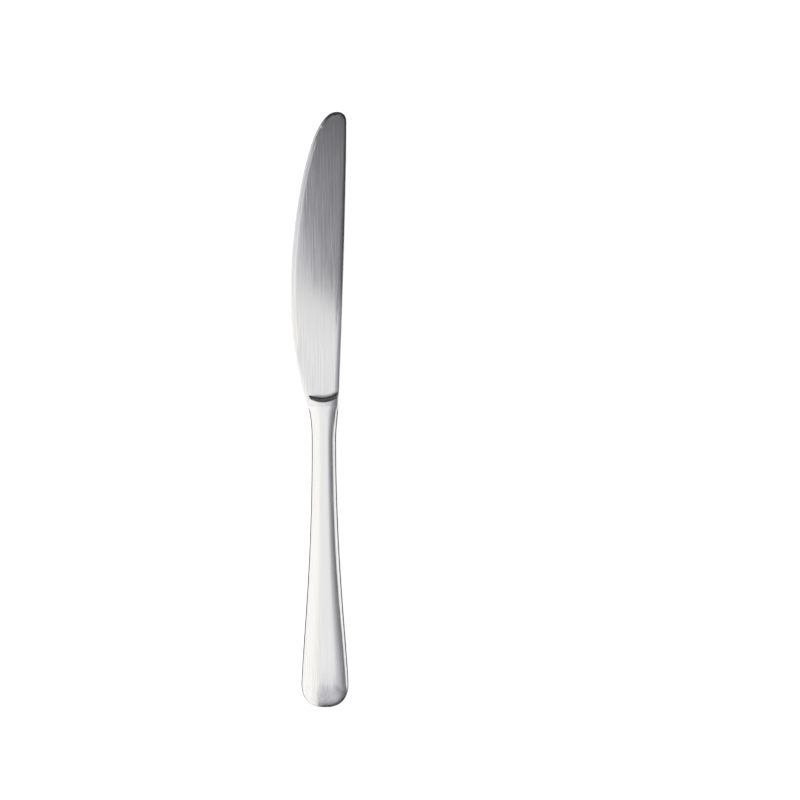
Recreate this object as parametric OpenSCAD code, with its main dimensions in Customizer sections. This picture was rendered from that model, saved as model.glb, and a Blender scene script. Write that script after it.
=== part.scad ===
// Table knife with a hollow handle: a forged blade with its bolster and tang, two pressed handle
// halves, the braze that joins them and the cement that locks the tang inside.
// Millimetres. The knife lies flat on one face: +Y points to the tip, +X to the spine side, +Z up.

/* [Blade] */
// Length of the blade from the shoulder to the tip
blade_length = 105; // [85:1:130]
// Reach of the cutting edge from the handle axis at the widest point
belly_reach = 11.95; // [9:0.05:15]
// Distance from the shoulder to the widest point
belly_station = 38.5; // [30:0.5:50]
// Reach of the spine from the handle axis at the tip
spine_reach = 8.85; // [7:0.05:12]
// Offset of the top of the tip from the handle axis
tip_offset = 5.05; // [3:0.05:6.5]
// Length over which the spine rounds over into the tip
tip_round = 3.8; // [2.5:0.1:8]
// Thickness of the spine at the heel
heel_thickness = 3; // [2.4:0.1:3.6]
// Thickness of the spine at the tip
tip_thickness = 1.5; // [1:0.1:2]
// Width over which the spine's corners are rounded at the heel
spine_round = 2.6; // [1.2:0.1:3.2]
// Thickness of the blade where the ground bevel starts
bevel_thickness = 1.2; // [0.8:0.1:1.4]
// Width of the ground bevel along the cutting edge
bevel_width = 1.65; // [1:0.05:3]
// Thickness of the cutting edge itself
edge_thickness = 0.2; // [0.15:0.05:0.4]
// Distance from the shoulder to where the cutting edge is fully ground
bevel_start = 25; // [15:1:30]

/* [Bolster] */
// Reach of the shoulder from the handle axis on the cutting-edge side
shoulder_edge_reach = 7.05; // [6.2:0.05:8.5]
// Reach of the shoulder from the handle axis on the spine side
shoulder_spine_reach = 5.55; // [5:0.05:6.8]
// Thickness of the bolster at the shoulder
shoulder_thickness = 8.2; // [7:0.1:9.4]
// Radius of the curved wall where the blade is ground away from the bolster
scoop_radius = 10.5; // [8:0.1:24]
// Depth of that curved wall below the shoulder line
scoop_depth = 1.05; // [0.3:0.05:1.4]
// Run of the steep wall from the blade face up to the bolster
wall_run = 0.8; // [0.5:0.05:2]
// Length of full bolster between the wall and the handle joint
bolster_land = 1.75; // [1:0.05:4]
// Length of the shallow run-in on the blade face ahead of the wall
run_in_length = 1.5; // [0.8:0.1:3]
// Rounding of the crest between the wall and the bolster
crest_round = 2.4; // [0.8:0.1:3]
// Width of the thin margin beside the bolster on the cutting-edge side
flank_inset = 1.4; // [0.8:0.1:1.8]
// Length over which the handle thins towards the shoulder
bolster_taper = 18; // [8:0.5:20]

/* [Handle] */
// Length of the handle from the shoulder to the butt
handle_length = 115; // [95:1:140]
// Thickness of the handle
handle_thickness = 9.6; // [8:0.1:12]
// Width of the neck at its narrowest
neck_width = 8.9; // [8.4:0.05:11]
// Distance from the shoulder to the narrowest part of the neck
neck_station = 17; // [12:0.5:30]
// Width of the butt at its widest
butt_width = 17.3; // [13:0.1:22]
// Length over which the butt is rounded off
butt_round = 9; // [6:0.1:14]
// Width of the flat land along the middle of each face
land_width = 1.6; // [0.4:0.1:2]
// Wall of the two pressed handle halves
shell_wall = 0.9; // [0.6:0.05:1.2]

/* [Tang] */
// Length of the spigot that centres the bolster in the handle's mouth
spigot_length = 3; // [1.5:0.1:6]
// Length of the tang below the spigot
tang_length = 48; // [30:1:65]
// Width of the tang
tang_width = 5; // [3:0.1:5.4]
// Thickness of the tang
tang_thickness = 3; // [2:0.1:4]
// Depth of the notches that lock the tang in the cement
notch_depth = 0.6; // [0.3:0.1:0.9]
// Length of each notch
notch_length = 4; // [2:0.5:6]
// Number of notches on each side of the tang
notch_count = 3; // [1:1:4]

/* [Joints] */
// Thickness of the brazed seams
braze_gap = 0.12; // [0.08:0.02:0.3]
// Height to which the seam's braze stands proud of the handle halves
seam_proud = 0.35; // [0.1:0.05:0.4]
// Clearance between the cement, the tang and the handle walls
fit_clearance = 0.05; // [0.03:0.01:0.15]

/* [Hidden] */

// Exponents that set the character of each curve
belly_exponent = 1.7;
heel_exponent = 2.1;
spine_exponent = 1.4;
tip_exponent = 2.4;
tip_edge_exponent = 4;
edge_flare_exponent = 2.6;
flank_exponent = 1.8;
flank_fullness_share = 0.85;
flank_fullness_exponent = 3;
butt_exponent = 2.4;
rim_exponent = 2.2;
taper_exponent = 2;
tang_corner_exponent = 0.25;

// Shares and slopes of the rounded forms
spine_tilt_share = 0.7;
tip_edge_share = 0.42;
heel_round_share = 0.7;
bevel_blend_share = 0.167;
run_in_slope_share = 0.16;
run_in_fillet_share = 1;
wall_fillet_share = 0.2;
crest_fade_share = 0.05;
rim_share = 0.52;
body_rim_share = 0.5;
neck_rim_share = 1;
shoulder_rim_share = 0.8;
neck_rim_run_share = 0.67;
butt_blend_share = 0.5;
butt_rim_share = 0.08;
butt_seam_share = 0.55;

// Steps of the lofted surfaces
quarter_steps = 8;
half_steps = 2 * quarter_steps + 1;
top_steps = half_steps + 2;
ring_steps = 2 * top_steps;
spigot_rows = 4;
shoulder_rows = 20;
blade_rows = 24;
neck_rows = 9;
flank_rows = 11;
butt_rows = 9;

// Sizes that follow from the driving ones
heel_half = heel_thickness / 2;
tip_half = tip_thickness / 2;
bevel_half = bevel_thickness / 2;
edge_half = edge_thickness / 2;
neck_half = neck_width / 2;
butt_half = butt_width / 2;
thick_half = handle_thickness / 2;
shoulder_half = shoulder_thickness / 2;
land_half = land_width / 2;
seam_half = braze_gap / 2;
butt_step = seam_proud * butt_seam_share;
tip_start = blade_length - tip_round;
butt_station = handle_length - butt_round;
bevel_slope = (bevel_half - edge_half) / bevel_width;
bevel_blend = bevel_thickness * bevel_blend_share;
belly_width = belly_reach + spine_side(belly_station);
wall_slope = (shoulder_half - heel_half) / wall_run;
wall_fillet = wall_run * wall_fillet_share;
run_in_fillet = run_in_length * run_in_fillet_share;
scoop_x = (shoulder_spine_reach - shoulder_edge_reach) / 2;
scoop_y = scoop_radius - scoop_depth;
bolster_end = scoop_depth + wall_run + bolster_land;
shoulder_end = bolster_end + run_in_length;
mouth = bolster_end + braze_gap;
spigot_end = bolster_end + spigot_length;
spigot_inset = shell_wall + fit_clearance;
tang_end = spigot_end + tang_length;
notch_pitch = tang_length / (notch_count + 1);
place_x = (belly_reach - max(spine_reach, butt_half)) / 2;
place_y = (handle_length - blade_length) / 2;
place_z = max(thick_half, shoulder_half);

function smooth(t) = t * t * (3 - 2 * t);
function clamp01(t) = min(1, max(0, t));
function superellipse(s, n) = pow(max(0, 1 - pow(s, n)), 1 / n);
function corner(d, width) = d >= width ? 1 : sqrt(1 - pow(1 - max(0, d) / width, 2));
function blend_min(a, b, width) = min(a, b) - pow(max(0, width - abs(a - b)), 2) / (4 * width);
function blend_max(a, b, width) = -blend_min(-a, -b, width);
function rise(run, slope, fillet) = slope * (norm([run, fillet]) + run) / 2;

// Outline of the whole knife seen from above, as its reach on each side of the handle axis
function tipward(y) = (y - belly_station) / (blade_length - belly_station);
function neckward(y) = 1 + y / neck_station;
function flank_share(t) =
    pow(t, flank_exponent) * (1 + flank_fullness_share * pow(t, flank_fullness_exponent) * (1 - t));
function flank(y) =
    neck_half + (butt_half - neck_half) * flank_share((-y - neck_station) / (butt_station - neck_station));
function edge_side(y) =
    y > belly_station
        ? belly_reach - (belly_reach + tip_offset) * (1 - sqrt(max(0, 1 - pow(tipward(y), belly_exponent))))
    : y > 0
        ? belly_reach - (belly_reach - shoulder_edge_reach) * pow(1 - y / belly_station, heel_exponent)
    : y > -neck_station
        ? neck_half + (shoulder_edge_reach - neck_half) * pow(neckward(y), edge_flare_exponent)
    : flank(y);
function spine_side(y) =
    y > tip_start
        ? tip_offset + (spine_reach - tip_offset) * superellipse((y - tip_start) / tip_round, tip_exponent)
    : y > 0
        ? spine_reach - (spine_reach - shoulder_spine_reach) * pow(1 - y / tip_start, spine_exponent)
    : y > -neck_station
        ? neck_half + (shoulder_spine_reach - neck_half) * smooth(neckward(y))
    : flank(y);

// Half thickness of the handle and bolster along the knife, and the height share across a section:
// a half ellipse, mixed with a softer curve that ends in an upright rim
function half_thickness(y) =
    thick_half - (thick_half - shoulder_half) * pow(clamp01(1 + y / bolster_taper), taper_exponent);
function rim_at(y) =
    y > -neck_station
        ? neck_rim_share + (shoulder_rim_share - neck_rim_share) * smooth(clamp01(neckward(y)))
    : neck_rim_share + (body_rim_share - neck_rim_share)
        * smooth(clamp01((-y - neck_station) / (butt_station - neck_station) / neck_rim_run_share));
function cross_share(out, rim) =
    (1 - rim) * sqrt(max(0, 1 - out * out))
    + rim * (rim_share + (1 - rim_share) * (1 - pow(out, rim_exponent)));

// Upper surface of the blade: a convex face, the ground bevel and the rounded spine
function face_z(x, y) =
    heel_half - (heel_half - tip_half) * max(0, y) / blade_length
    - (heel_half - bevel_half) * pow((spine_side(y) - x) / belly_width, 2);
function heel_share(y) = 1 - smooth(clamp01(y / bevel_start));
function blunt_share(y) = smooth(clamp01(1 + (y - tip_start) / tip_round));
function bevel_z(x, y) =
    edge_half + heel_half * heel_share(y) + tip_half * blunt_share(y) + bevel_slope * (x + edge_side(y));
function spine_width(y) =
    spine_round * (1 - (1 - tip_edge_share) * smooth(clamp01(y / blade_length)));
function spine_drop(x, y) =
    let (width = spine_width(y))
    spine_tilt_share / 2 * width * pow(max(0, 1 - (spine_side(y) - x) / width), 2);
function tip_share(y) =
    y > tip_start ? superellipse((y - tip_start) / tip_round, tip_edge_exponent) : 1;
function heel_corner(x, y) =
    let (width = spine_round * heel_round_share * heel_share(y))
    width > 0 ? corner(x + edge_side(y), width) : 1;
function blade_z(x, y) =
    max(edge_half, blend_min(face_z(x, y), bevel_z(x, y), bevel_blend) - spine_drop(x, y))
    * heel_corner(x, y) * tip_share(y);

// Upper surface of the forging: the bolster's dome, cut by the curved wall that rises from the blade
function dome_z(x, y) =
    let (
        reach = x < 0 ? edge_side(y) - flank_inset * smooth(clamp01(1 + y / bolster_end)) : spine_side(y),
        out = max(0, (abs(x) - land_half) / (reach - land_half)))
    out > 1 ? 0 : half_thickness(y) * cross_share(out, rim_at(y));
function wall_z(x, y) =
    let (beyond = norm([x - scoop_x, min(0, y - scoop_y)]) - scoop_radius)
    blade_z(x, y) + rise(beyond, wall_slope, wall_fillet)
    + rise(beyond + run_in_length, run_in_slope_share, run_in_fillet);
function crest_width(y) = crest_round * max(crest_fade_share, sqrt(clamp01(1 + y / bolster_end)));
function forging_z(x, y) =
    blend_max(blade_z(x, y), blend_min(dome_z(x, y), wall_z(x, y), crest_width(y)), wall_fillet);

// Closed rings across the knife, from the cutting-edge side over the top and back underneath
function forging_ring(y) = [
    for (i = [0 : ring_steps - 1])
        let (
            middle = (spine_side(y) - edge_side(y)) / 2,
            half_width = (spine_side(y) + edge_side(y)) / 2,
            x = middle - half_width * cos(180 * i / top_steps),
            side = i < top_steps ? 1 : -1)
        [x, y, i % top_steps == 0 ? 0 : side * forging_z(x, y)]];

// The tang from its root to its end, grown by a clearance: [y, half width]
function tang_profile(grow) =
    let (half = tang_width / 2 + grow)
    concat(
        [[-spigot_end - grow, half]],
        [for (k = [1 : notch_count], p = [[-1, 0], [-1, 1], [1, 1], [1, 0]])
            let (from_middle = notch_length / 2 - p[1] * notch_depth)
            [-spigot_end - k * notch_pitch - p[0] * from_middle, half - p[1] * notch_depth]],
        [[-tang_end - grow, half]]);
function tang_ring(y, half_width, half_height) = [
    for (i = [0 : ring_steps - 1])
        let (c = -cos(180 * i / top_steps), s = sin(180 * i / top_steps))
        [half_width * sign(c) * pow(abs(c), tang_corner_exponent), y,
            half_height * sign(s) * pow(abs(s), tang_corner_exponent)]];

// Sections of the handle, drawn in from its outer face by an inset:
// [y, left reach, right reach, half height, way round the butt, rim]
function seam_step(y) =
    smooth(clamp01(2 * (-y - mouth) / neck_station))
    * (butt_step + (seam_proud - butt_step) * smooth(clamp01((y + butt_station) / neck_station)));
function body_section(y, inset, step_share = 1) =
    let (drawn_in = inset + step_share * seam_step(y))
    [y, edge_side(y) - drawn_in, spine_side(y) - drawn_in, half_thickness(y) - inset, 0, rim_at(y)];
function butt_section(s, inset, step_share = 1) =
    let (drawn_in = inset + step_share * butt_step)
    [-butt_station - s * (butt_round - drawn_in), butt_half - drawn_in, butt_half - drawn_in,
        thick_half - inset, s, body_rim_share];
function butt_share(section) = smooth(clamp01(section[4] / butt_blend_share));
function land_at(section) = land_half * (1 - butt_share(section));
function outline_x(section, side, along) =
    let (land = land_at(section))
    land + (section[side] - land) * superellipse(section[4], butt_exponent) * along;
function arch_z(section, along, base) =
    let (
        out = superellipse(section[4], butt_exponent) * along,
        reached = pow(pow(out, butt_exponent) + pow(section[4], butt_exponent), 1 / butt_exponent),
        rounded = min(1, reached) * (1 - butt_rim_share * butt_share(section)))
    base + (section[3] - base) * cross_share(rounded, section[5]);
function arch(section, base) = concat(
    [[-outline_x(section, 1, 1), section[0], base]],
    [for (i = [0 : half_steps])
        let (
            left = i <= quarter_steps,
            side = left ? 1 : 2,
            along = cos(90 * (left ? i : half_steps - i) / quarter_steps),
            out = outline_x(section, side, along))
        [left ? -out : out, section[0], arch_z(section, along, base)]],
    [[outline_x(section, 2, 1), section[0], base]]);
function round_ring(section) =
    let (top = arch(section, 0))
    concat(top, [for (i = [top_steps - 1 : -1 : 1]) [top[i][0], top[i][1], -top[i][2]]]);
function handle_sections(inset, first, step_share = 1) = concat(
    [for (i = [butt_rows - 1 : -1 : 1]) butt_section(sin(90 * i / butt_rows), inset, step_share)],
    [for (i = [flank_rows : -1 : 1])
        body_section(-neck_station - (butt_station - neck_station) * i / flank_rows, inset, step_share)],
    [for (i = [neck_rows : -1 : 0])
        body_section(-first - (neck_station - first) * i / neck_rows, inset, step_share)]);

// Triangles of a loft through rings of equal length, closed to a point at each end
function reversed(list) = [for (i = [len(list) - 1 : -1 : 0]) list[i]];
function quad(a, b, c, d) = [[a, b, c], [a, c, d]];
function wall_faces(rows, m) = [
    for (r = [0 : rows - 2], i = [0 : m - 1])
        each quad(r * m + i, (r + 1) * m + i, (r + 1) * m + (i + 1) % m, r * m + (i + 1) % m)];
function end_faces(rows, m) = concat(
    [for (i = [0 : m - 1]) [rows * m, i, (i + 1) % m]],
    [for (i = [0 : m - 1]) [rows * m + 1, (rows - 1) * m + (i + 1) % m, (rows - 1) * m + i]]);
module loft(rings, first_point, last_point) {
    rows = len(rings);
    m = len(rings[0]);
    polyhedron(
        points = concat([for (ring = rings) each ring], [first_point, last_point]),
        faces = concat(wall_faces(rows, m), end_faces(rows, m)));
}

// One pressed half of the handle, open at its mouth, with its rim on the seam
module half_shell() {
    outer = handle_sections(0, mouth);
    inner = handle_sections(shell_wall, mouth);
    rows = len(outer);
    n = top_steps + 1;
    m = 2 * n;
    butt_out = rows * m;
    butt_in = butt_out + 1;
    lip = (rows - 1) * m;
    points = concat(
        [for (r = [0 : rows - 1])
            each concat(arch(outer[r], seam_half), reversed(arch(inner[r], seam_half)))],
        [[0, butt_step - handle_length, seam_half],
            [0, butt_step + shell_wall - handle_length, seam_half]]);
    mouth_rim = [for (i = [0 : n - 2])
        each quad(lip + i, lip + m - 1 - i, lip + m - 2 - i, lip + i + 1)];
    butt_skin = [for (i = [0 : n - 2]) [butt_out, i, i + 1]];
    butt_lining = [for (i = [n : m - 2]) [butt_in, i, i + 1]];
    butt_rim = concat(quad(butt_out, butt_in, m - 1, 0), quad(butt_out, n - 1, n, butt_in));
    polyhedron(
        points = points,
        faces = concat(wall_faces(rows, m), mouth_rim, butt_skin, butt_lining, butt_rim));
}

// Sets the knife down: its box centred on the origin, its lower face on the ground
module place() {
    translate([place_x, place_y, place_z]) children();
}

// The forging in one piece: blade, bolster, spigot and notched tang
module blade() {
    tang = [for (p = reversed(tang_profile(0))) tang_ring(p[0], p[1], tang_thickness / 2)];
    spigot = [for (i = [spigot_rows : -1 : 0])
        round_ring(body_section(-bolster_end - spigot_length * i / spigot_rows, spigot_inset))];
    shoulder = [for (i = [0 : shoulder_rows])
        forging_ring((shoulder_end + bolster_end) * i / shoulder_rows - bolster_end)];
    edge = [for (i = [1 : blade_rows - 1])
        forging_ring(shoulder_end + (blade_length - shoulder_end) * sin(90 * i / blade_rows))];
    color([0.76, 0.77, 0.78])
        place()
            loft(concat(tang, spigot, shoulder, edge), [0, -tang_end, 0], [tip_offset, blade_length, 0]);
}

// The upper half of the handle
module handle_front_shell() {
    color([0.82, 0.82, 0.81]) place() half_shell();
}

// The lower half of the handle, which the knife lies on
module handle_back_shell() {
    color([0.74, 0.74, 0.74]) place() mirror([0, 0, 1]) half_shell();
}

// The flat strip of braze between the rims of the two handle halves, a little proud of them
module seam_braze() {
    outer = handle_sections(0, mouth, 0);
    inner = handle_sections(shell_wall, mouth);
    outline = concat(
        [for (s = reversed(outer)) [-outline_x(s, 1, 1), s[0]]],
        [[0, -handle_length]],
        [for (s = outer) [outline_x(s, 2, 1), s[0]]],
        [for (s = reversed(inner)) [outline_x(s, 2, 1), s[0]]],
        [[0, butt_step + shell_wall - handle_length]],
        [for (s = inner) [-outline_x(s, 1, 1), s[0]]]);
    color([0.3, 0.28, 0.25])
        place()
            linear_extrude(height = braze_gap, center = true)
                polygon(outline);
}

// The ring of braze between the bolster and the handle's mouth
module bolster_braze() {
    color([0.7, 0.69, 0.67])
        place()
            translate([0, -bolster_end, 0])
                rotate([90, 0, 0])
                    linear_extrude(height = braze_gap)
                        difference() {
                            mouth_outline(0);
                            mouth_outline(shell_wall);
                        }
}
module mouth_outline(inset) {
    polygon([for (p = round_ring(body_section(-mouth, inset))) [p[0], p[2]]]);
}

// The cement that fills the hollow handle round the tang
module handle_filler() {
    outside = [for (s = handle_sections(spigot_inset, spigot_end + fit_clearance)) round_ring(s)];
    socket = [for (p = tang_profile(fit_clearance))
        tang_ring(p[0], p[1], tang_thickness / 2 + fit_clearance)];
    color([0.62, 0.59, 0.54])
        place()
            loft(
                concat(outside, socket),
                [0, butt_step + spigot_inset - handle_length, 0],
                [0, -tang_end - fit_clearance, 0]);
}

blade();
handle_front_shell();
handle_back_shell();
seam_braze();
bolster_braze();
handle_filler();
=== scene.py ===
import math

import bpy
import numpy as np
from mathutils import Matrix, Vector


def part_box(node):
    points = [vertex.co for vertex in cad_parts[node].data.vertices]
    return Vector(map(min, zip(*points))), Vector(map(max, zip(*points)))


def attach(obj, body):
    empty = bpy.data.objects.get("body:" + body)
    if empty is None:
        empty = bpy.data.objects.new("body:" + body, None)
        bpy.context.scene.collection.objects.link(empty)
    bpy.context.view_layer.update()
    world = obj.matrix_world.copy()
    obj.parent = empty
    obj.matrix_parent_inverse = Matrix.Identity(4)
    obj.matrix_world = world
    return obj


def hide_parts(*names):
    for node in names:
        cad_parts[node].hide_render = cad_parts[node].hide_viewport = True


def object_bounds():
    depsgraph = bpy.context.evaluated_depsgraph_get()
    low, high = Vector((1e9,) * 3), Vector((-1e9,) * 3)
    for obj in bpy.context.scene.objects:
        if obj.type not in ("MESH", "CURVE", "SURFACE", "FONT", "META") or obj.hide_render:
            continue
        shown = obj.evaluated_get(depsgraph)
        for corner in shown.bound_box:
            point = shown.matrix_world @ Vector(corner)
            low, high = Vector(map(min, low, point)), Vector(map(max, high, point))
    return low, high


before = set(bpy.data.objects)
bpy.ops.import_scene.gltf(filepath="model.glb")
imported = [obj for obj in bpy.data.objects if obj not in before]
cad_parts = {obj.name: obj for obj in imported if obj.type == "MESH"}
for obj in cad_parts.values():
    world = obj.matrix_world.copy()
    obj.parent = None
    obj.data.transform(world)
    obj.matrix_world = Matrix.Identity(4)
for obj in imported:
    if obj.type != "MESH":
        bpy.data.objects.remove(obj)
cad_low, cad_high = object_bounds()

# A table knife of brushed steel, lying flat on a white table and seen from straight above.
# Metres. +Y points to the tip, +X to the spine side, +Z up.
# The shapes are worked out in the knife's own axes: x is 0 on the handle's axis, y at the shoulder
# and z at the seam.
MM = 0.001

# Places and sizes that the frame gives
blade_low, blade_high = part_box("blade")
shell_low, shell_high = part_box("handle_front_shell")
seam_low, seam_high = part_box("seam_braze")
ring_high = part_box("bolster_braze")[1]
AXIS_X = (shell_low.x + shell_high.x) / 2
SEAM_Z = (seam_low.z + seam_high.z) / 2
SEAM_HALF = (seam_high.z - seam_low.z) / 2
BUTT_HALF = (seam_high.x - seam_low.x) / 2
THICK_HALF = shell_high.z - SEAM_Z
BELLY_REACH = AXIS_X - blade_low.x
SPINE_REACH = blade_high.x - AXIS_X

# Bolster and the curved wall where the blade is ground away from it
SCOOP_RADIUS = 10.5 * MM
SCOOP_DEPTH = 1.05 * MM
SCOOP_Y = SCOOP_RADIUS - SCOOP_DEPTH
SCOOP_FILLET = 0.16 * MM
WALL_SLOPE = 3.25
CREST_ROUND = 2.4 * MM
CREST_FADE = 0.05
RAMP_LENGTH = 1.5 * MM
RAMP_SLOPE = 0.16
RAMP_FILLET = 1.5 * MM
BOLSTER_TAPER = 18 * MM
FLANK_INSET = 1.4 * MM
FLANK_BLEND = 0.2 * MM
BLADE_LENGTH = 105 * MM
SHOULDER_Y = blade_high.y - BLADE_LENGTH
BOLSTER_END = SHOULDER_Y - ring_high.y
SHOULDER_EDGE_REACH = 7.05 * MM
SHOULDER_SPINE_REACH = 5.55 * MM
SCOOP_X = (SHOULDER_SPINE_REACH - SHOULDER_EDGE_REACH) / 2
SHOULDER_HALF = 4.1 * MM

# Blade
BELLY_STATION = 38.5 * MM
TIP_OFFSET = 5.05 * MM
TIP_ROUND = 3.8 * MM
TIP_START = BLADE_LENGTH - TIP_ROUND
HEEL_HALF = 1.5 * MM
TIP_HALF = 0.75 * MM
BEVEL_HALF = 0.6 * MM
BEVEL_SLOPE = 0.3
BEVEL_BLEND = 0.2 * MM
BLUNT_WIDTH = 1.2 * MM
BLUNT_RUN = 20 * MM
BLUNT_SLOPE = 0.67
BEVEL_START = 25 * MM
EDGE_HALF = 0.1 * MM
HEEL_ROUND = 1.8 * MM
SPINE_ROUND = 2.6 * MM
TIP_EDGE_ROUND = 0.9 * MM
EDGE_TILT = 0.75
EDGE_POWER = 2.0

# Handle
HANDLE_LENGTH = SHOULDER_Y - seam_low.y
NECK_HALF = 4.45 * MM
NECK_STATION = 17 * MM
BUTT_ROUND = 9 * MM
BUTT_STATION = HANDLE_LENGTH - BUTT_ROUND
LAND_HALF = 0.4 * MM
ROUND_POWER = 2.4
RIM_SHARE = 0.52
RIM_POWER = 2.2
BUTT_BLEND = 0.5
BUTT_RIM = 0.08
BODY_RIM = 0.5
NECK_RIM = 1.0
SHOULDER_RIM = 0.8
NECK_RIM_RUN = 0.67 * (BUTT_STATION - NECK_STATION)
SEAM_PROUD = 0.35 * MM
SEAM_FADE = NECK_STATION / 8
BUTT_STEP = 0.3 * MM
ARCH_START = math.radians(2)
SHELL_WALL = 0.9 * MM
MOUTH = SHOULDER_Y - shell_high.y

# Tang, hidden in the handle
SPIGOT_LENGTH = 3 * MM
SPIGOT_CLEARANCE = 0.05 * MM
SPIGOT_INSET = SHELL_WALL + SPIGOT_CLEARANCE
TANG_LENGTH = 48 * MM
TANG_HALF_WIDTH = 2.5 * MM
TANG_HALF_HEIGHT = 1.5 * MM
TANG_CORNER = 0.25

# Powers of the outline's curves
FLANK_POWER = 1.8
FLANK_SWELL = 0.85
SWELL_POWER = 3
NECK_POWER = 2.6
HEEL_POWER = 2.1
BELLY_POWER = 1.7
BACK_POWER = 1.4
TIP_POWER = 2.4

# Steps of the lofted meshes
BLADE_STEPS = 72
ARCH_STEPS = 40
SHOULDER_ROWS = 110
BLADE_ROWS = 64
TIP_ROWS = 46
TIP_ZONE = 94 * MM
FLANK_ROWS = 60
NECK_ROWS = 36
BUTT_ROWS = 26
OUTLINE_POINTS = 900
OUTLINE_SLACK = 1e-9
SHARP_ANGLE = math.radians(60)
UV_STRIP = 0.01


def smooth(t):
    t = np.clip(t, 0, 1)
    return t * t * (3 - 2 * t)


def superellipse(s, exponent):
    return np.maximum(0, 1 - np.clip(s, 0, 1) ** exponent) ** (1 / exponent)


# Outline of the knife, as its reach on each side of the handle axis
def flank(y):
    t = np.clip((-y - NECK_STATION) / (BUTT_STATION - NECK_STATION), 0, 1)
    swell = 1 + FLANK_SWELL * t**SWELL_POWER * (1 - t)
    return NECK_HALF + (BUTT_HALF - NECK_HALF) * t**FLANK_POWER * swell


def edge_side(y):
    y = np.asarray(y, float)
    tipward = np.clip((y - BELLY_STATION) / (BLADE_LENGTH - BELLY_STATION), 0, 1)
    belly = BELLY_REACH - (BELLY_REACH + TIP_OFFSET) * (1 - np.sqrt(1 - tipward**BELLY_POWER))
    heelward = np.clip(1 - y / BELLY_STATION, 0, 1)
    heel = BELLY_REACH - (BELLY_REACH - SHOULDER_EDGE_REACH) * heelward**HEEL_POWER
    neckward = np.clip(1 + y / NECK_STATION, 0, 1)
    neck = NECK_HALF + (SHOULDER_EDGE_REACH - NECK_HALF) * neckward**NECK_POWER
    return np.select([y > BELLY_STATION, y > 0, y > -NECK_STATION], [belly, heel, neck], flank(y))


def spine_side(y):
    y = np.asarray(y, float)
    tip_share = superellipse((y - TIP_START) / TIP_ROUND, TIP_POWER)
    tip = TIP_OFFSET + (SPINE_REACH - TIP_OFFSET) * tip_share
    heelward = np.clip(1 - y / TIP_START, 0, 1)
    back = SPINE_REACH - (SPINE_REACH - SHOULDER_SPINE_REACH) * heelward**BACK_POWER
    neck = NECK_HALF + (SHOULDER_SPINE_REACH - NECK_HALF) * smooth(1 + y / NECK_STATION)
    return np.select([y > TIP_START, y > 0, y > -NECK_STATION], [tip, back, neck], flank(y))


# Sections of the handle and the bolster
def half_thickness(y):
    taper = np.clip(1 + y / BOLSTER_TAPER, 0, 1) ** 2
    return THICK_HALF - (THICK_HALF - SHOULDER_HALF) * taper


def land_at(y):
    """Half width of the flat along the middle, which fades out from the neck to the shoulder."""
    return LAND_HALF * (1 - smooth(1 + y / NECK_STATION))


def rim_at(y):
    """How far a section has an upright rim, from 0 for a half ellipse to 1."""
    shoulderward = (SHOULDER_RIM - NECK_RIM) * smooth(1 + y / NECK_STATION)
    buttward = (BODY_RIM - NECK_RIM) * smooth((-y - NECK_STATION) / NECK_RIM_RUN)
    return NECK_RIM + shoulderward + buttward


def cross_profile(out, rim):
    """Height share across a section: a half ellipse, or a softer curve that ends in an upright rim."""
    rimmed = RIM_SHARE + (1 - RIM_SHARE) * (1 - out**RIM_POWER)
    return (1 - rim) * np.sqrt(1 - out**2) + rim * rimmed


# Upper surface of the forging, from its distance to the spine and to the cutting edge
def distance_to(line, x, y):
    """Distance to a line of close points, measured across it from the nearest one."""
    across = x[..., None] - line[:, 0]
    along = y[..., None] - line[:, 1]
    nearest = np.argmin(across**2 + along**2, axis=-1)
    step = np.gradient(line, axis=0)
    spacing = np.linalg.norm(step, axis=1)
    offset = np.stack([x, y], axis=-1) - line[nearest]
    slid = np.sum(offset * step[nearest], axis=-1) / spacing[nearest]
    slid = np.clip(slid, -spacing[nearest], spacing[nearest])
    return np.sqrt(np.maximum(0, np.sum(offset**2, axis=-1) - slid**2))


def blend_min(a, b, width):
    near = np.maximum(width - np.abs(a - b), 0) / width
    return np.minimum(a, b) - near**2 * width / 4


def blend_max(a, b, width):
    return -blend_min(-a, -b, width)


def rise(run, slope, fillet):
    """A slope that starts at zero run, eased in over a fillet."""
    return slope * (np.hypot(run, fillet) + run) / 2


def outline_stations(start, end, count):
    """Stations from start to end that lie closer and closer together."""
    return start + (end - start) * np.sin(np.linspace(0, math.pi / 2, count))


def bevel_height(y, edge_distance, heel):
    """The ground bevel, which fades out at the heel and has a blunt edge round the tip."""
    blunt_width = np.maximum(BLUNT_WIDTH * smooth(1 + (y - BLADE_LENGTH) / BLUNT_RUN), EDGE_HALF)
    edge_near = np.clip(1 - edge_distance / blunt_width, 0, 1)
    blunt = BLUNT_SLOPE / 2 * blunt_width * (1 - edge_near**2)
    return EDGE_HALF + HEEL_HALF * heel + BEVEL_SLOPE * edge_distance + blunt


def face_height(x, y, spine_distance):
    """The blade's face, thinner towards the tip and the edge, and rounded over at the spine."""
    along = np.clip(y / BLADE_LENGTH, 0, 1)
    belly_width = BELLY_REACH + spine_side(BELLY_STATION)
    fall = (HEEL_HALF - BEVEL_HALF) * ((spine_side(y) - x) / belly_width) ** 2
    face = HEEL_HALF - (HEEL_HALF - TIP_HALF) * along - fall
    round_width = SPINE_ROUND + (TIP_EDGE_ROUND - SPINE_ROUND) * smooth(along)
    spine_near = np.clip(1 - spine_distance / round_width, 0, 1)
    return face - EDGE_TILT / EDGE_POWER * round_width * spine_near**EDGE_POWER


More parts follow.
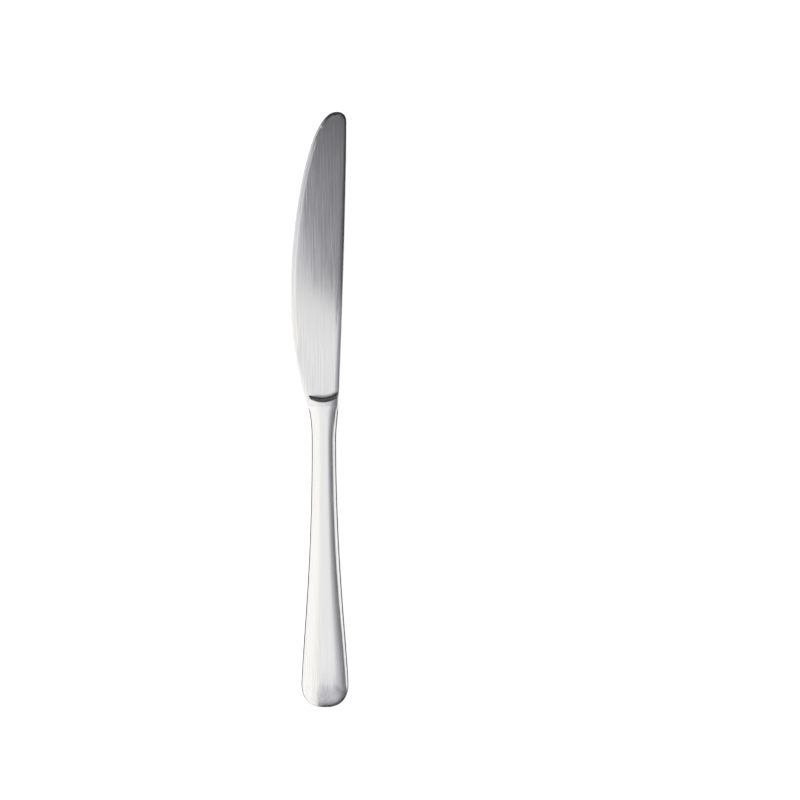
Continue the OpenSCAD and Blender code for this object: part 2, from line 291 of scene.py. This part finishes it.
def blade_height(x, y):
    stations = outline_stations(-BOLSTER_END, BLADE_LENGTH, OUTLINE_POINTS)
    spine = np.column_stack([spine_side(stations), stations])
    edge = np.column_stack([-edge_side(stations), stations])
    heel = 1 - smooth(y / BEVEL_START)
    bevel = bevel_height(y, distance_to(edge, x, y), heel)
    face = face_height(x, y, distance_to(spine, x, y))
    web = np.maximum(EDGE_HALF, blend_min(face, bevel, BEVEL_BLEND))

    heel_width = np.maximum(HEEL_ROUND * heel, EDGE_HALF)
    heel_near = np.clip(1 - (x + edge_side(y)) / heel_width, 0, 1) * (heel > 0)
    return np.maximum(EDGE_HALF, web * np.sqrt(1 - heel_near**2))


def forging_height(x, y):
    """The blade, and the bolster that stands above it past the curved wall."""
    web = blade_height(x, y)
    left = edge_side(y) - FLANK_INSET * smooth(1 + y / BOLSTER_END)
    reach = np.where(x < 0, left, spine_side(y))
    land = land_at(y)
    out = np.maximum(0, (np.abs(x) - land) / (reach - land))
    profile = cross_profile(np.minimum(out, 1), rim_at(y))
    dome = half_thickness(y) * np.where(out > 1 + OUTLINE_SLACK, 0, profile)
    beyond = np.hypot(x - SCOOP_X, np.minimum(0, y - SCOOP_Y)) - SCOOP_RADIUS
    ramp = rise(beyond + RAMP_LENGTH, RAMP_SLOPE, RAMP_FILLET)
    wall = web + rise(beyond, WALL_SLOPE, SCOOP_FILLET) + ramp
    crest_fade = np.maximum(CREST_FADE, np.sqrt(np.clip(1 + y / BOLSTER_END, 0, 1)))
    crest = blend_min(dome, wall, CREST_ROUND * crest_fade)
    return np.maximum(EDGE_HALF, blend_max(web, crest, FLANK_BLEND))


# Rows of the handle, drawn in from its outline by an inset
def seam_step(y):
    """How far the seam strip stands proud of the shells."""
    proud = BUTT_STEP + (SEAM_PROUD - BUTT_STEP) * smooth((y + BUTT_STATION) / NECK_STATION)
    return smooth((-y - MOUTH) / SEAM_FADE) * proud


def body_section(y, inset, wall):
    sides = edge_side(y) - inset, spine_side(y) - inset
    return y, sides, half_thickness(y) - wall, 0, rim_at(y)


def butt_section(s, inset, wall):
    y = -BUTT_STATION - s * (BUTT_ROUND - inset)
    return y, (BUTT_HALF - inset, BUTT_HALF - inset), THICK_HALF - wall, s, BODY_RIM


def butt_shares():
    """Places along the rounded butt, from near its end to near its start."""
    return np.sin(np.linspace(0, math.pi / 2, BUTT_ROWS))[-2:0:-1]


def handle_sections(wall):
    flanks = np.linspace(-BUTT_STATION, -NECK_STATION, FLANK_ROWS)
    neck = np.linspace(-NECK_STATION, -MOUTH, NECK_ROWS)[1:]
    stations = np.concatenate([flanks, neck])
    bodies = [body_section(float(y), wall + float(seam_step(y)), wall) for y in stations]
    return [butt_section(float(s), wall + BUTT_STEP, wall) for s in butt_shares()] + bodies


def arch(section):
    """Points over a half of the handle, from the seam on its left to the seam on its right."""
    y, sides, height, s, rim = section
    angles = np.linspace(ARCH_START, math.pi / 2, ARCH_STEPS)
    butt = smooth(s / BUTT_BLEND)
    land = land_at(y) * (1 - butt)
    narrowed = superellipse(s, ROUND_POWER)
    halves = []
    for side in sides:
        out = narrowed * np.cos(angles)
        x = land + (side - land) * out
        reached = np.minimum(1, (out**ROUND_POWER + s**ROUND_POWER) ** (1 / ROUND_POWER))
        profile = cross_profile(reached * (1 - BUTT_RIM * butt), rim)
        z = SEAM_HALF + (height - SEAM_HALF) * profile
        edge = [[land + (side - land) * narrowed, SEAM_HALF]]
        halves.append(np.concatenate([edge, np.column_stack([x, z])]))
    left, right = halves
    outline = np.concatenate([left * np.array([-1, 1]), right[::-1]])
    return np.column_stack([outline[:, 0], np.full(len(outline), y), outline[:, 1]])


# Meshes
def make_piece(name, points, faces, uvs, material):
    mesh = bpy.data.meshes.new(name)
    placed = np.asarray(points) + np.array([AXIS_X, SHOULDER_Y, SEAM_Z])
    mesh.from_pydata(placed.tolist(), [], faces)
    layer = mesh.uv_layers.new(name="UVMap")
    layer.data.foreach_set("uv", np.asarray(uvs, np.float32).ravel())
    mesh.polygons.foreach_set("use_smooth", [True] * len(mesh.polygons))
    mesh.set_sharp_from_angle(angle=SHARP_ANGLE)
    mesh.materials.append(material)
    mesh.validate()
    piece = bpy.data.objects.new(name, mesh)
    bpy.context.scene.collection.objects.link(piece)
    return piece


def loft_faces(rows, count):
    """Quads between rings of points, with the shares round and along the loft as UVs."""
    faces, uvs = [], []
    for r in range(rows - 1):
        for i in range(count):
            j = (i + 1) % count
            faces.append((r * count + i, (r + 1) * count + i, (r + 1) * count + j, r * count + j))
            left, right = i / count, (i + 1) / count
            low, high = r / (rows - 1), (r + 1) / (rows - 1)
            uvs += [(left, low), (left, high), (right, high), (right, low)]
    return faces, uvs


def turned_over(faces, uvs):
    """The same faces with their corners in the opposite order."""
    flipped, flipped_uvs, at = [], [], 0
    for face in faces:
        flipped.append(tuple(reversed(face)))
        flipped_uvs += list(reversed(uvs[at:at + len(face)]))
        at += len(face)
    return flipped, flipped_uvs


def hidden_rings(count):
    """Rings of the tang, and of the spigot that centres the forging in the handle."""
    turn = np.linspace(math.pi, -math.pi, count, endpoint=False) + math.pi / count
    across, up = np.cos(turn), np.sin(turn)
    spigot_end = -BOLSTER_END - SPIGOT_LENGTH
    rings = []
    for y in (spigot_end - TANG_LENGTH, spigot_end):
        x = TANG_HALF_WIDTH * np.sign(across) * np.abs(across) ** TANG_CORNER
        z = TANG_HALF_HEIGHT * np.sign(up) * np.abs(up) ** TANG_CORNER
        rings.append(np.column_stack([x, np.full(count, y), z]))
    for y in (spigot_end, -BOLSTER_END):
        inset = SPIGOT_INSET + float(seam_step(y))
        _, (left, right), height, _, _ = body_section(y, inset, SPIGOT_INSET)
        x = (right - left) / 2 + (right + left) / 2 * across
        rings.append(np.column_stack([x, np.full(count, y), height * up]))
    return np.stack(rings)


def blade_piece(material):
    shoulder = np.linspace(-BOLSTER_END, BEVEL_START, SHOULDER_ROWS)
    body = np.linspace(BEVEL_START, TIP_ZONE, BLADE_ROWS)[1:]
    tip = outline_stations(TIP_ZONE, BLADE_LENGTH, TIP_ROWS)[1:-1]
    stations = np.concatenate([shoulder, body, tip])[:, None]
    shares = -np.cos(np.linspace(0, math.pi, BLADE_STEPS + 1))[None, :]
    middle = (spine_side(stations) - edge_side(stations)) / 2
    half_width = (spine_side(stations) + edge_side(stations)) / 2
    x = middle + half_width * shares
    y = np.broadcast_to(stations, x.shape)
    z = forging_height(x, y)
    top = np.stack([x, y, z], axis=-1)
    bottom = np.stack([x, y, -z], axis=-1)[:, ::-1]
    rings = np.concatenate([top, bottom], axis=1)
    count = rings.shape[1]
    rings = np.concatenate([hidden_rings(count), rings])

    rows = rings.shape[0]
    faces, uvs = loft_faces(rows, count)
    last = (rows - 1) * count
    faces.append(tuple(range(count)))
    faces.append(tuple(range(last + count - 1, last - 1, -1)))
    uvs += [(0, 0)] * (2 * count)
    return make_piece("knife_blade", rings.reshape(-1, 3), faces, uvs, material)


def shell_piece(name, side, material):
    """A pressed half of the handle with its wall, the upper one for side 1 and the lower one for -1."""
    outer = handle_sections(0)
    inner = handle_sections(SHELL_WALL)
    rings = [np.concatenate([arch(o), arch(i)[::-1]]) for o, i in zip(outer, inner)]
    rows, count = len(rings), len(rings[0])
    half = count // 2
    butt_out, butt_in = rows * count, rows * count + 1
    end = BUTT_STEP - HANDLE_LENGTH
    poles = [[0, end, SEAM_HALF], [0, end + SHELL_WALL, SEAM_HALF]]
    points = np.concatenate([np.concatenate(rings), np.array(poles)]) * np.array([1, 1, side])

    faces, uvs = loft_faces(rows, count)
    lip = (rows - 1) * count
    for i in range(half - 1):
        left, right = i / count, (i + 1) / count
        faces.append((lip + i, lip + count - 1 - i, lip + count - 2 - i, lip + i + 1))
        uvs += [(left, 1), (left, 1 + UV_STRIP), (right, 1 + UV_STRIP), (right, 1)]
    for pole, start in ((butt_out, 0), (butt_in, half)):
        for i in range(start, start + half - 1):
            left, right = i / count, (i + 1) / count
            faces.append((pole, i, i + 1))
            uvs += [(left, -UV_STRIP), (left, 0), (right, 0)]
    faces.append((butt_out, butt_in, count - 1, 0))
    faces.append((butt_out, half - 1, half, butt_in))
    uvs += [(0, 0), (0, UV_STRIP), (UV_STRIP, UV_STRIP), (UV_STRIP, 0)] * 2
    if side < 0:
        faces, uvs = turned_over(faces, uvs)
    return make_piece(name, points, faces, uvs, material)


def seam_piece(material):
    """A thin strip of braze between the shells' rims, standing a little proud of them, so that its
    near-black painted shade shows from above as a dark line along the outline.
    """
    inset = SHELL_WALL + BUTT_STEP
    flanks = np.linspace(-BUTT_STATION, -MOUTH, FLANK_ROWS + NECK_ROWS)
    left, right = [], []
    for y in flanks[::-1]:
        inner = SHELL_WALL + seam_step(y)
        left.append(((-edge_side(y), y), (inner - edge_side(y), y)))
        right.append(((spine_side(y), y), (spine_side(y) - inner, y)))
    for s in butt_shares()[::-1]:
        narrowed = superellipse(s, ROUND_POWER)
        outer = (BUTT_HALF * narrowed, -BUTT_STATION - s * BUTT_ROUND)
        inner = ((BUTT_HALF - inset) * narrowed, -BUTT_STATION - s * (BUTT_ROUND - inset))
        left.append(((-outer[0], outer[1]), (-inner[0], inner[1])))
        right.append((outer, inner))
    end = ((0, -HANDLE_LENGTH), (0, inset - HANDLE_LENGTH))
    path = left + [end] + right[::-1]
    points = []
    for outer, inner in path:
        points += [(*outer, SEAM_HALF), (*outer, -SEAM_HALF), (*inner, -SEAM_HALF), (*inner, SEAM_HALF)]
    faces, uvs = loft_faces(len(path), 4)
    last = len(points)
    faces += [(0, 1, 2, 3), (last - 1, last - 2, last - 3, last - 4)]
    uvs += [(0, 0), (1, 0), (1, UV_STRIP), (0, UV_STRIP)] * 2
    return make_piece("knife_seam_braze", points, faces, uvs, material)


# Materials
STEEL_ROUGHNESS = 0.165
STEEL_ANISOTROPY = 0.8
ROUGHNESS_SWING = 0.25
BLADE_TONE = (0.745, 0.745, 0.75)
BLADE_CONTRAST = 0.07
HANDLE_TONE = (0.80, 0.80, 0.795)
HANDLE_CONTRAST = 0.08
GROOVE_WIDTH = 0.2 * MM
GROOVE_LENGTH = 8 * MM
GROOVE_DETAIL = 2
GROOVE_DEPTH = 0.004 * MM
BAND_WIDTH = 0.4 * MM
BAND_LENGTH = 14 * MM
BAND_DETAIL = 3
STREAK_FADE = 20 * MM
STREAK_REST = 0.3
NOISE_RANGE = (0.3, 0.7)

CEMENT_TONES = ((0.22, 0.20, 0.17), (0.46, 0.43, 0.38))
CEMENT_ROUGHNESS = (0.75, 0.95)
CEMENT_GRAIN = 0.8 * MM
CEMENT_DETAIL = 6
CEMENT_RELIEF = 0.1 * MM
# The seam is a real braze strip, but its near-black tones are painted shade: they draw the dark line
# along the handle's outline.
SEAM_SHADE_TONES = ((0.06, 0.055, 0.05), (0.14, 0.13, 0.12))
RING_TONES = ((0.66, 0.65, 0.63), (0.76, 0.75, 0.73))
BRAZE_ROUGHNESS = (0.3, 0.45)
BRAZE_GRAIN = 1.5 * MM
BRAZE_DETAIL = 4
BRAZE_RELIEF = 0.02 * MM


def new_material(name):
    material = bpy.data.materials.new(name)
    material.use_nodes = True
    tree = material.node_tree
    return material, tree, tree.nodes["Principled BSDF"]


def add_node(tree, kind, links=None, **values):
    node = tree.nodes.new(kind)
    for socket, value in values.items():
        node.inputs[socket].default_value = value
    for socket, source in (links or {}).items():
        tree.links.new(source, node.inputs[socket])
    return node


def combine(tree, operation, first, second):
    """A sum, product or maximum of one socket and another socket or a number."""
    node = add_node(tree, "ShaderNodeMath", {0: first})
    node.operation = operation
    if isinstance(second, float):
        node.inputs[1].default_value = second
    else:
        tree.links.new(second, node.inputs[1])
    return node.outputs["Value"]


def map_range(tree, source, before, after):
    """A number carried from one range to another, and held at its ends."""
    node = add_node(tree, "ShaderNodeMapRange", {"Value": source})
    for socket, value in zip(("From Min", "From Max", "To Min", "To Max"), (*before, *after)):
        node.inputs[socket].default_value = value
    return node.outputs["Result"]


def streaks(tree, width, length, detail):
    """Noise drawn out along the knife, as a brushed finish is."""
    coords = tree.nodes.new("ShaderNodeTexCoord")
    stretch = add_node(tree, "ShaderNodeMapping", {"Vector": coords.outputs["Object"]})
    stretch.inputs["Scale"].default_value = (1, width / length, 1)
    noise = add_node(
        tree, "ShaderNodeTexNoise", {"Vector": stretch.outputs["Vector"]}, Scale=1 / width, Detail=detail
    )
    return noise.outputs["Fac"]


def brushed_steel(name, tone, contrast, streaky_below=None):
    """Steel with brushed streaks in its tone, which can be kept to the part below a station."""
    material, tree, shader = new_material(name)
    grooves = streaks(tree, GROOVE_WIDTH, GROOVE_LENGTH, GROOVE_DETAIL)
    bands = streaks(tree, BAND_WIDTH, BAND_LENGTH, BAND_DETAIL)

    streak = map_range(tree, bands, NOISE_RANGE, (-0.5, 0.5))
    if streaky_below is not None:
        coords = tree.nodes.new("ShaderNodeTexCoord")
        split = add_node(tree, "ShaderNodeSeparateXYZ", {"Vector": coords.outputs["Object"]})
        fade = (streaky_below, streaky_below + STREAK_FADE)
        strength = map_range(tree, split.outputs["Y"], fade, (1.0, STREAK_REST))
        streak = combine(tree, "MULTIPLY", streak, strength)
    tint = add_node(tree, "ShaderNodeMix")
    tint.data_type = "RGBA"
    tint.inputs["A"].default_value = (*(c * (1 - contrast) for c in tone), 1)
    tint.inputs["B"].default_value = (*(c * (1 + contrast) for c in tone), 1)
    tree.links.new(combine(tree, "ADD", streak, 0.5), tint.inputs["Factor"])
    tree.links.new(tint.outputs["Result"], shader.inputs["Base Color"])

    rough = STEEL_ROUGHNESS * (1 - ROUGHNESS_SWING), STEEL_ROUGHNESS * (1 + ROUGHNESS_SWING)
    tree.links.new(map_range(tree, bands, NOISE_RANGE, rough), shader.inputs["Roughness"])
    bump = add_node(tree, "ShaderNodeBump", {"Height": grooves}, Strength=1.0, Distance=GROOVE_DEPTH)
    tree.links.new(bump.outputs["Normal"], shader.inputs["Normal"])
    across = tree.nodes.new("ShaderNodeTangent")
    across.direction_type = "UV_MAP"
    across.uv_map = "UVMap"
    tree.links.new(across.outputs["Tangent"], shader.inputs["Tangent"])
    shader.inputs["Metallic"].default_value = 1.0
    shader.inputs["Anisotropic"].default_value = STEEL_ANISOTROPY
    return material


def grainy_material(name, tones, roughness, grain, detail, relief, metallic):
    """A matt or metal surface, mottled between two tones and a little uneven."""
    material, tree, shader = new_material(name)
    coords = tree.nodes.new("ShaderNodeTexCoord")
    noise = add_node(
        tree, "ShaderNodeTexNoise", {"Vector": coords.outputs["Object"]}, Scale=1 / grain, Detail=detail
    )
    mottle = noise.outputs["Fac"]
    tint = add_node(tree, "ShaderNodeValToRGB", {"Fac": mottle})
    for element, tone in zip(tint.color_ramp.elements, tones):
        element.color = (*tone, 1)
    tree.links.new(tint.outputs["Color"], shader.inputs["Base Color"])
    tree.links.new(map_range(tree, mottle, NOISE_RANGE, roughness), shader.inputs["Roughness"])
    bump = add_node(tree, "ShaderNodeBump", {"Height": mottle}, Distance=relief)
    tree.links.new(bump.outputs["Normal"], shader.inputs["Normal"])
    shader.inputs["Metallic"].default_value = metallic
    return material


def braze_material(name, tones):
    return grainy_material(name, tones, BRAZE_ROUGHNESS, BRAZE_GRAIN, BRAZE_DETAIL, BRAZE_RELIEF, 1.0)


def cement_material(name):
    return grainy_material(
        name, CEMENT_TONES, CEMENT_ROUGHNESS, CEMENT_GRAIN, CEMENT_DETAIL, CEMENT_RELIEF, 0.0
    )


# The knife
blade_steel = brushed_steel("blade_brushed_steel", BLADE_TONE, BLADE_CONTRAST)
handle_steel = brushed_steel(
    "handle_brushed_steel", HANDLE_TONE, HANDLE_CONTRAST, SHOULDER_Y - BUTT_STATION
)
cement = cement_material("handle_cement")
# The seam braze gets near-black tones: painted shade for the dark line along the outline, on a real braze
# seam.
seam_braze = braze_material("seam_braze_painted_shade", SEAM_SHADE_TONES)
ring_braze = braze_material("ring_braze_metal", RING_TONES)

blade = blade_piece(blade_steel)
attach(blade, "root")
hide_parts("blade")
for shell_name, side in (("handle_front_shell", 1), ("handle_back_shell", -1)):
    shell = shell_piece("knife_" + shell_name, side, handle_steel)
    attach(shell, "root")
    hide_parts(shell_name)
seam = seam_piece(seam_braze)
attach(seam, "root")
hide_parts("seam_braze")
for node_name, node_material in (("bolster_braze", ring_braze), ("handle_filler", cement)):
    for material_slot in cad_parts[node_name].material_slots:
        material_slot.material = node_material


# The table
TABLE_HALF_SIDE = 10.0
TABLE_GAP = 0.05 * MM
TABLE_TONE = 0.92
TABLE_ROUGHNESS = 0.9
CAMERA_GLOW = 0.3
MIRROR_GLOW = 0.2
TABLE_GLOWS = (
    ("Is Camera Ray", CAMERA_GLOW),
    ("Is Glossy Ray", MIRROR_GLOW),
    ("Is Transmission Ray", MIRROR_GLOW),
)


def stage_mesh(name, points, faces, corner_uvs, material):
    mesh = bpy.data.meshes.new(name)
    mesh.from_pydata(points, [], faces)
    layer = mesh.uv_layers.new(name="UVMap")
    layer.data.foreach_set("uv", np.asarray(corner_uvs, np.float32).ravel())
    mesh.materials.append(material)
    thing = bpy.data.objects.new(name, mesh)
    bpy.context.scene.collection.objects.link(thing)
    return thing


def table_material():
    """White, and lifted to full white where the camera or the steel sees it."""
    material, tree, shader = new_material("white_table")
    shader.inputs["Base Color"].default_value = (TABLE_TONE, TABLE_TONE, TABLE_TONE, 1)
    shader.inputs["Roughness"].default_value = TABLE_ROUGHNESS
    shader.inputs["Specular IOR Level"].default_value = 0.0
    shader.inputs["Emission Color"].default_value = (1, 1, 1, 1)
    path = tree.nodes.new("ShaderNodeLightPath")
    lifts = [combine(tree, "MULTIPLY", path.outputs[ray], strength) for ray, strength in TABLE_GLOWS]
    glow = lifts[0]
    for lift in lifts[1:]:
        glow = combine(tree, "ADD", glow, lift)
    tree.links.new(glow, shader.inputs["Emission Strength"])
    return material


TABLE_CORNERS = [(0, 0), (1, 0), (1, 1), (0, 1)]
table_points = [
    (TABLE_HALF_SIDE * (2 * u - 1), TABLE_HALF_SIDE * (2 * v - 1), cad_low.z - TABLE_GAP)
    for u, v in TABLE_CORNERS
]
stage_mesh("table", table_points, [(0, 1, 2, 3)], TABLE_CORNERS, table_material())


# Light: a white tent all round, with cards that shade what the steel mirrors
CARD_HEIGHT = 0.25
CARD_STEPS = 12
SHADE = (0.95, 0.95, 1.0)
WARM = (1.0, 0.985, 0.955)


def level_curve(tree, source, stops):
    """The light level along a card, straight from each stop to the next."""
    ramp = add_node(tree, "ShaderNodeFloatCurve", {"Value": source})
    curve = ramp.mapping.curves[0]
    top = float(max(level for _, level in stops))
    for at, level in stops[1:-1]:
        curve.points.new(at, level / top)
    curve.points[0].location = (stops[0][0], stops[0][1] / top)
    curve.points[len(curve.points) - 1].location = (stops[-1][0], stops[-1][1] / top)
    for point in curve.points:
        point.handle_type = "VECTOR"
    ramp.mapping.update()
    return combine(tree, "MULTIPLY", ramp.outputs["Value"], top)


def card_material(name, colour, levels, across, side_fade):
    """Light that changes from a card's near edge to its far one, and from its left end to its right."""
    material = bpy.data.materials.new(name)
    material.use_nodes = True
    tree = material.node_tree
    tree.nodes.clear()
    output = tree.nodes.new("ShaderNodeOutputMaterial")
    coords = tree.nodes.new("ShaderNodeTexCoord")
    split = add_node(tree, "ShaderNodeSeparateXYZ", {"Vector": coords.outputs["UV"]})
    level = level_curve(tree, split.outputs["Y"], levels)
    if side_fade:
        fade = map_range(tree, split.outputs["X"], side_fade, (0.0, 1.0))
        blend = add_node(tree, "ShaderNodeMix", {"Factor": fade, "B": level}, A=1.0)
        level = blend.outputs["Result"]
    if across:
        level = combine(tree, "MULTIPLY", level, level_curve(tree, split.outputs["X"], across))
    glow = add_node(tree, "ShaderNodeEmission", {"Strength": level})
    glow.inputs["Color"].default_value = (*colour, 1)
    tree.links.new(glow.outputs["Emission"], output.inputs["Surface"])
    return material


def card(name, near, far, colour, levels, across=None, side_fade=None):
    """A card between a near edge and a far edge, each given by its left and right ends."""
    steps = np.linspace(0, 1, CARD_STEPS + 1)
    u, v = (axis.ravel()[:, None] for axis in np.meshgrid(steps, steps))
    near_points = np.array(near[0]) * (1 - u) + np.array(near[1]) * u
    far_points = np.array(far[0]) * (1 - u) + np.array(far[1]) * u
    points = near_points * (1 - v) + far_points * v
    row = CARD_STEPS + 1
    faces = [
        (i * row + j, i * row + j + 1, (i + 1) * row + j + 1, (i + 1) * row + j)
        for i in range(CARD_STEPS) for j in range(CARD_STEPS)
    ]
    corners = np.hstack([u, v])[np.array(faces).ravel()]
    material = card_material(name, colour, levels, across, side_fade)
    thing = stage_mesh(name, points.tolist(), faces, corners, material)
    thing.visible_camera = False
    thing.visible_diffuse = False
    thing.visible_shadow = False


# Over the tip, and on to the right of it
TIP_NEAR = ((-0.06, 0.066, CARD_HEIGHT), (0.04, 0.0387, CARD_HEIGHT))
TIP_FAR = ((-0.6, 0.5, CARD_HEIGHT), (0.2, 0.5, CARD_HEIGHT))
TIP_LEVELS = [(0, 0.4), (0.13, 0.3), (0.19, 0.2), (0.245, 0.03), (0.5, 0.015), (0.7, 0.09), (1, 0.12)]
TIP_ACROSS = [(0, 1), (0.6, 1), (1, 0.78)]
TIP_SIDE_FADE = (0.12, 0.32)
card("card_over_tip", TIP_NEAR, TIP_FAR, SHADE, TIP_LEVELS, TIP_ACROSS, TIP_SIDE_FADE)

SIDE_NEAR = (1.1, 0.0, CARD_HEIGHT)
SIDE_FAR = (1.1, 0.6, CARD_HEIGHT)
SIDE_LEVELS = [(0, 0.5), (0.05, 0.3), (0.12, 0.15), (0.25, 0.05), (1, 0.015)]
SIDE_ACROSS = [(0, 1), (0.08, 0.9), (0.19, 0.55), (0.3, 0.3), (1, 0.1)]
card("card_beside_tip", (TIP_NEAR[1], SIDE_NEAR), (TIP_FAR[1], SIDE_FAR), SHADE, SIDE_LEVELS, SIDE_ACROSS)

# Down to the table beyond the tip, and to the left of it
FOOT_LEFT = (-0.9, 0.9, 0)
FOOT_RIGHT = (1.4, 0.9, 0)
FLAP_TOP = (-0.5, 0.2, 0.14)
FLAP_FOOT = (-0.55, 0.2, 0)
DARK_LEVELS = [(0, 0.015), (1, 0.015)]
card("card_past_tip", (TIP_FAR[0], SIDE_FAR), (FOOT_LEFT, FOOT_RIGHT), SHADE, DARK_LEVELS)
card("card_left_of_tip", (FLAP_TOP, TIP_FAR[0]), (FLAP_FOOT, FOOT_LEFT), SHADE, DARK_LEVELS)

# Along the spine side, below the butt and along the edge side
SPINE_NEAR = ((0.14, -0.6, CARD_HEIGHT), (0.14, 0.04, CARD_HEIGHT))
SPINE_FAR = ((0.55, -0.6, 0), (0.55, 0.04, 0))
SPINE_LEVELS = [(0, 1.0), (0.08, 0.8), (0.16, 0.6), (0.25, 0.46), (0.4, 0.31), (0.6, 0.2), (1, 0.08)]
SPINE_ACROSS = [(0, 0.2), (0.62, 0.3), (0.76, 1), (1, 1)]
card("card_beyond_spine", SPINE_NEAR, SPINE_FAR, SHADE, SPINE_LEVELS, SPINE_ACROSS)

BUTT_NEAR = ((-0.055, -0.12, CARD_HEIGHT), (0.5, -0.12, CARD_HEIGHT))
BUTT_FAR = ((-0.055, -0.5, 0), (0.5, -0.2, 0))
BUTT_LEVELS = [
    (0, 0.97), (0.06, 0.84), (0.2, 0.7), (0.35, 0.68), (0.47, 0.5), (0.56, 0.3), (0.62, 0.1), (1, 0.03)
]
BUTT_ACROSS = [
    (0, 1), (0.04, 1), (0.1, 0.88), (0.17, 1.04), (0.24, 1), (0.4, 0.55), (0.6, 0.3), (1, 0.1)
]
card("card_below_butt", BUTT_NEAR, BUTT_FAR, SHADE, BUTT_LEVELS, BUTT_ACROSS)

EDGE_NEAR = ((-0.07, -0.6, CARD_HEIGHT), (-0.07, 0.05, CARD_HEIGHT))
EDGE_FAR = ((-0.6, -0.6, 0), (-0.6, 0.3, 0))
EDGE_LEVELS = [(0, 1.0), (0.2, 1.18), (1, 1.2)]
card("card_beside_edge", EDGE_NEAR, EDGE_FAR, WARM, EDGE_LEVELS)

SUN_ENERGY = 2.3
SUN_ANGLE = math.radians(30)
SUN_HEIGHT = 2 * CARD_HEIGHT
sun_data = bpy.data.lights.new("soft_top_light", "SUN")
sun_data.energy = SUN_ENERGY
sun_data.angle = SUN_ANGLE
sun = bpy.data.objects.new("soft_top_light", sun_data)
sun.location = (0, 0, SUN_HEIGHT)
sun.visible_glossy = False
bpy.context.scene.collection.objects.link(sun)

# The tent is white where the camera or the steel sees it, and lights the rest at a lower level
ROOM_LEVEL = 0.3
world = bpy.data.worlds.new("white_tent")
world.use_nodes = True
world_tree = world.node_tree
tent = world_tree.nodes["Background"]
tent.inputs["Color"].default_value = (1, 1, 1, 1)
ray_path = world_tree.nodes.new("ShaderNodeLightPath")
seen = ray_path.outputs["Is Camera Ray"]
for ray in ("Is Glossy Ray", "Is Transmission Ray"):
    seen = combine(world_tree, "MAXIMUM", seen, ray_path.outputs[ray])
tent_level = map_range(world_tree, seen, (0.0, 1.0), (ROOM_LEVEL, 1.0))
world_tree.links.new(tent_level, tent.inputs["Strength"])
bpy.context.scene.world = world

# Camera, straight above, with the knife at its place in the photograph's 800 by 800 frame
IMAGE_SIDE = 800
PIXEL = 0.3694 * MM
KNIFE_CENTRE_PX = (319.5, 409.2)
KNIFE_LEAN = math.radians(0.26)
CAMERA_HEIGHT = 1.2
SENSOR_WIDTH_MM = 36.0
camera_data = bpy.data.cameras.new("camera")
camera_data.sensor_width = SENSOR_WIDTH_MM
camera_data.lens = SENSOR_WIDTH_MM * CAMERA_HEIGHT / (IMAGE_SIDE * PIXEL)
camera = bpy.data.objects.new("camera", camera_data)
camera.location = (
    (IMAGE_SIDE / 2 - KNIFE_CENTRE_PX[0]) * PIXEL,
    (KNIFE_CENTRE_PX[1] - IMAGE_SIDE / 2) * PIXEL,
    SEAM_Z + CAMERA_HEIGHT,
)
camera.rotation_euler = (0, 0, -KNIFE_LEAN)
bpy.context.scene.collection.objects.link(camera)
bpy.context.scene.camera = camera

bpy.context.scene.view_settings.view_transform = "Standard"
